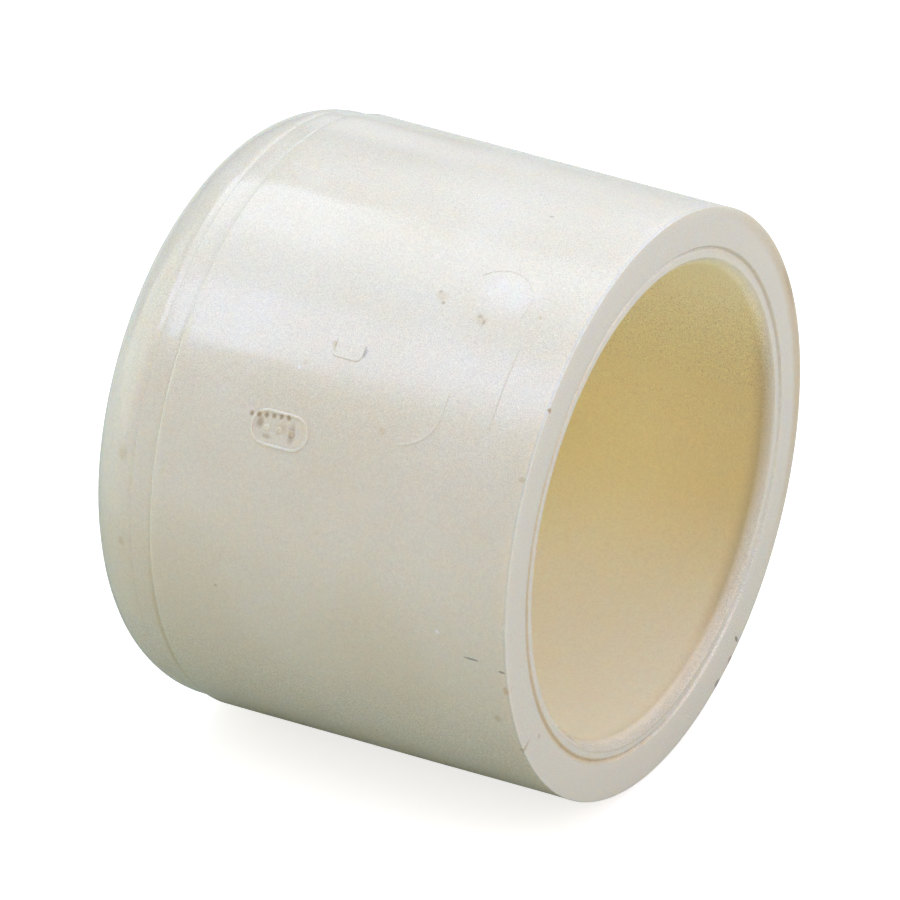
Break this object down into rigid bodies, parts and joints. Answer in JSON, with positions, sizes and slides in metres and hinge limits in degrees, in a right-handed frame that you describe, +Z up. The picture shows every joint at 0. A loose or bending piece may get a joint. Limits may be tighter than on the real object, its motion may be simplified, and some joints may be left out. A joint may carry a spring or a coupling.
{
  "type": "pipe cap",
  "caption": "Moulded plastic socket cap that closes the end of a small pressure pipe: plain rim, smooth bore, drafted barrel, rounded closed end.",
  "frame": {"origin": "centre of the rim face, on the cap's axis", "axes": "+X along the cap's axis, out of the mouth; the closed end is at -X; +Z up, so the cap lies on its side"},
  "size_m": [0.0243, 0.0282, 0.0282],
  "materials": {
    "cap_plastic": "ivory moulded plastic, smooth and softly glossy"
  },
  "bodies": {
    "root": {"cap_body": "cap_plastic"}
  },
  "joints": []
}
